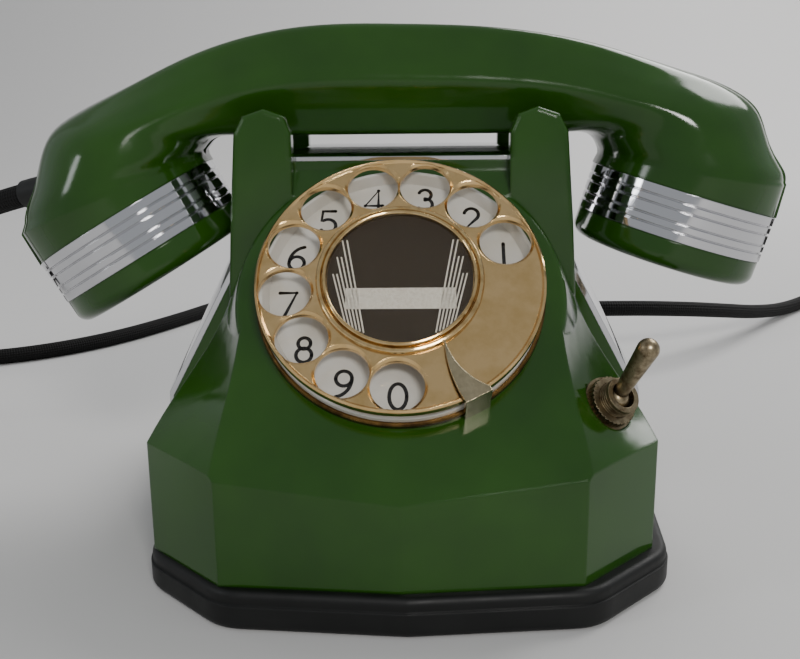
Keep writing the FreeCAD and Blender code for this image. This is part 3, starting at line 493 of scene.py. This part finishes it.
def braided_tube(name, route, material):
    """A round cord along a route, with its UV in millimetres along and round it."""
    around = TUBE_SIDES
    line, length = even_steps(route_line(route), TUBE_STEP * MM)
    radius = CORD_DIAMETER / 2 * MM
    heading = (line[1] - line[0]).normalized()
    side = heading.orthogonal().normalized()
    verts = []
    for index, point in enumerate(line):
        ahead = line[min(index + 1, len(line) - 1)] - line[max(index - 1, 0)]
        heading = ahead.normalized()
        side = (side - heading * side.dot(heading)).normalized()
        third = heading.cross(side)
        for turn in range(around):
            angle = 2 * pi * turn / around
            verts.append(point + (side * cos(angle) + third * sin(angle)) * radius)
    faces = []
    for index in range(len(line) - 1):
        for turn in range(around):
            after = (turn + 1) % around
            low = index * around
            high = low + around
            faces.append((low + turn, low + after, high + after, high + turn))
    last = (len(line) - 1) * around
    faces.append(tuple(reversed(range(around))))
    faces.append(tuple(last + turn for turn in range(around)))
    piece = piece_from(name, verts, faces, material)
    mesh = piece.data
    uv = mesh.uv_layers.new(name="along_and_round").data
    step = length / (len(line) - 1) / MM
    girth = pi * CORD_DIAMETER
    for index, polygon in enumerate(mesh.polygons[:-2]):
        ring = index // around
        turn = index % around
        corners = ((ring, turn), (ring, turn + 1), (ring + 1, turn + 1), (ring + 1, turn))
        for loop, (along, across) in zip(polygon.loop_indices, corners):
            uv[loop].uv = (along * step, across * girth / around)
    mesh.shade_smooth()
    return piece, line, length


def coil_points():
    """The coil's turns: inwards on the floor, up a layer, and outwards again."""
    steps_a_turn = 16
    layer = CORD_DIAMETER + 0.1
    points = []
    for step in range(1, int(COIL_TURNS * steps_a_turn)):
        turn = step / steps_a_turn
        angle = radians(COIL_START) - 2 * pi * turn
        inwards = min(turn, COIL_INWARD)
        outwards = max(0.0, turn - COIL_INWARD - COIL_CLIMB)
        rise = min(max(turn - COIL_INWARD, 0.0) / COIL_CLIMB, 1.0)
        radius = COIL_OUTER - COIL_PITCH * (inwards - outwards)
        height = CORD_REST + layer * rise
        x = COIL_CENTRE[0] + radius * cos(angle)
        y = COIL_CENTRE[1] + radius * sin(angle)
        points.append((x, y, height))
    return points


def cords():
    """Both cords as braided tubes, from where they leave the telephone to where they end."""
    cotton = braided_cotton()
    rear = (REAR_EXIT_Y, REAR_EXIT_Z)
    route = [HANDSET_EXIT] + HANDSET_ROUTE + [(-REAR_EXIT_X, *rear)]
    handset, line, length = braided_tube("handset_cord_braid", route, cotton)
    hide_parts("handset_cord")
    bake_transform(handset)
    route = [(REAR_EXIT_X, *rear)] + LINE_ROUTE[:-1] + coil_points() + BLOCK_ENTRY
    lead, line, length = braided_tube("line_cord_braid", route, cotton)
    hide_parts("line_cord", "line_cord_coil")
    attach(lead, "base")
    print("cord lengths", length)


# ------------------------------------------------------------------ dial markings
def arc(x, y, wide, high, start, end):
    """Points along part of an ellipse, from one angle to another in degrees."""
    steps = max(2, round(abs(end - start) / 12))
    angles = [radians(start + (end - start) * step / steps) for step in range(steps + 1)]
    return [(x + wide * cos(angle), y + high * sin(angle)) for angle in angles]


def digit_strokes():
    """The centrelines of the ten digits, in millimetres about their middles."""
    top = DIGIT_HALF
    six = [arc(2.6, -1.5, 4.7, 5.2, 97, 180), arc(0.0, -1.45, 2.1, 2.1, 0, 360)]
    return {
        "1": [[(0, -top), (0, top)]],
        "2": [arc(0, top - 2.0, 2.0, 2.0, 165, -40) + [(-2.2, -top), (2.3, -top)]],
        "3": [arc(0, top - 1.75, 1.75, 1.75, 155, -90), arc(0, -1.5, 2.05, 2.05, 90, -150)],
        "4": [[(1.3, -top), (1.3, top), (-2.4, -1.5), (2.5, -1.5)]],
        "5": [[(2.0, top), (-1.5, top), (-1.8, 0.5)] + arc(0, -1.35, 2.2, 2.2, 125, -145)],
        "6": six,
        "7": [[(-2.2, top), (2.3, top), (-0.7, -top)]],
        "8": [arc(0, top - 1.65, 1.65, 1.65, 0, 360), arc(0, -1.5, 2.05, 2.05, 0, 360)],
        "9": [[(-x, -y) for x, y in stroke] for stroke in six],
        "0": [arc(0, 0, 2.25, top, 0, 360)],
    }


def stroke_mesh(strokes, width):
    """Flat rounded strokes: a ribbon along each line and a disc at each of its ends."""
    verts = []
    faces = []
    for line in strokes:
        points = [Vector(point) for point in line]
        first = len(verts)
        for index, point in enumerate(points):
            ahead = (points[min(index + 1, len(points) - 1)] - point).normalized()
            behind = (point - points[max(index - 1, 0)]).normalized()
            along = (ahead + behind).normalized()
            across = Vector((-along.y, along.x)) * width / 2
            verts += [point + across, point - across]
        corners = range(first, first + 2 * (len(points) - 1), 2)
        faces += [(corner, corner + 1, corner + 3, corner + 2) for corner in corners]
        for point in points if len(points) < 6 else (points[0], points[-1]):
            start = len(verts)
            verts += [Vector(spot) for spot in arc(point.x, point.y, width / 2, width / 2, 0, 348)]
            faces.append(tuple(range(start, len(verts))))
    return verts, faces


def dial_digits(material):
    """Round-ended digits on the plate, one under each finger hole."""
    for index, (digit, strokes) in enumerate(digit_strokes().items()):
        angle = radians(HOLE_FIRST + HOLE_STEP * index)
        middle = Vector((HOLE_CIRCLE * cos(angle), HOLE_CIRCLE * sin(angle)))
        verts, faces = stroke_mesh(strokes, DIGIT_STROKE)
        places = [dial_point(*(middle + spot), PLATE_FACE + DIGIT_LIFT) for spot in verts]
        piece = piece_from("dial_digit_" + digit, places, faces, material)
        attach(piece, "base")


def card_stripes(material):
    """A fan of stripes down each side of the card and a blank label across it."""
    label = [
        (LABEL_LEFT, LABEL_LOW), (LABEL_RIGHT, LABEL_LOW),
        (LABEL_RIGHT, LABEL_HIGH), (LABEL_LEFT, LABEL_HIGH),
    ]
    quads = [label]
    for side in (-1, 1):
        for index in range(STRIPES):
            low_x = STRIPE_FOOT[0] + STRIPE_PITCH * index
            low_y = STRIPE_FOOT[1] + STRIPE_RISE * index
            lean = STRIPE_LEAN + STRIPE_SPREAD * index
            high_y = STRIPE_TOP - STRIPE_DROP * (index // 2)
            high_x = low_x + lean * (high_y - low_y)
            inner = [(side * low_x, low_y), (side * (low_x + STRIPE_WIDTH), low_y)]
            outer = [(side * (high_x + STRIPE_WIDTH), high_y), (side * high_x, high_y)]
            quads.append(inner + outer)
    verts = [dial_point(x, y, CARD_FACE + PRINT_LIFT) for quad in quads for x, y in quad]
    faces = [tuple(range(4 * index, 4 * index + 4)) for index in range(len(quads))]
    piece = piece_from("card_print", verts, faces, material)
    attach(piece, "dial_wheel")


def dress_nodes():
    """Gives every CAD node its finish."""
    green = green_phenolic()
    chrome = chrome_plate()
    rubber = black_rubber()
    gold = gold_lacquer()
    steel = bare_metal("zinc-plated steel", "a9aaa8", "8b8d8c", 0.3)
    brass = bare_metal("turned brass", "c9a566", "a9853f", 0.22)
    phenolic = black_phenolic()
    winding = taped_winding()
    tarnished = aged_brass("tarnished nickel plate", "a09378", "5f503a", 0.26, 0.5, 2.2)
    finishes = {
        green: ["housing", "handset_handle", "transmitter_cap", "receiver_cap"],
        chrome: ["chrome_strap", "transmitter_band", "receiver_band", "cradle_plungers"],
        rubber: ["rubber_base", "handset_gland", "handset_cord_grommet", "line_cord_grommet"],
        gold: ["finger_wheel"],
        polished_gold(): ["card_ring"],
        white_enamel(): ["number_plate"],
        aged_brass("browned brass rim", "8a6a3c", "4a3520", 0.25, 0.45, 5.0): ["dial_rim"],
        aged_brass("polished nickel plate", "bbae8e", "9c8f72", 0.1, 0.22, 4.0): ["finger_stop"],
        tarnished: ["toggle_bushing", "toggle_ring_nut", "toggle_washer", "toggle_lever"],
        printed_card(): ["number_card"],
        celluloid(): ["card_window"],
        phenolic: [
            "toggle_body", "terminal_strip", "contact_block", "connecting_block", "connecting_block_cover",
        ],
        steel: [
            "base_plate", "bottom_cover", "housing_screws", "dial_shaft", "dial_frame", "hook_bracket",
            "hook_lever", "hook_yoke", "ringer_frame", "ringer_posts", "gong_screws", "clapper", "pivot_pins",
            "terminal_screws", "connecting_block_screw", "return_spring_case",
        ],
        brass: ["main_gear", "dial_pinion", "impulse_cam", "governor", "impulse_contacts", "hook_contacts"],
        bare_metal("nickelled gong steel", "c4bba6", "a39a86", 0.12): ["gong_large", "gong_small"],
        winding: ["ringer_coils", "induction_coil"],
        bare_metal("painted tin", "5c5d55", "484941", 0.4): ["condenser"],
        bare_metal("pressed aluminium", "b4b6b7", "97999a", 0.3): [
            "transmitter_capsule", "receiver_capsule",
        ],
    }
    for material, nodes in finishes.items():
        for node in nodes:
            dress(node, material)


camera()
floor()
lights()
dress_nodes()
cords()
dial_digits(black_digits())
card_stripes(card_ink())
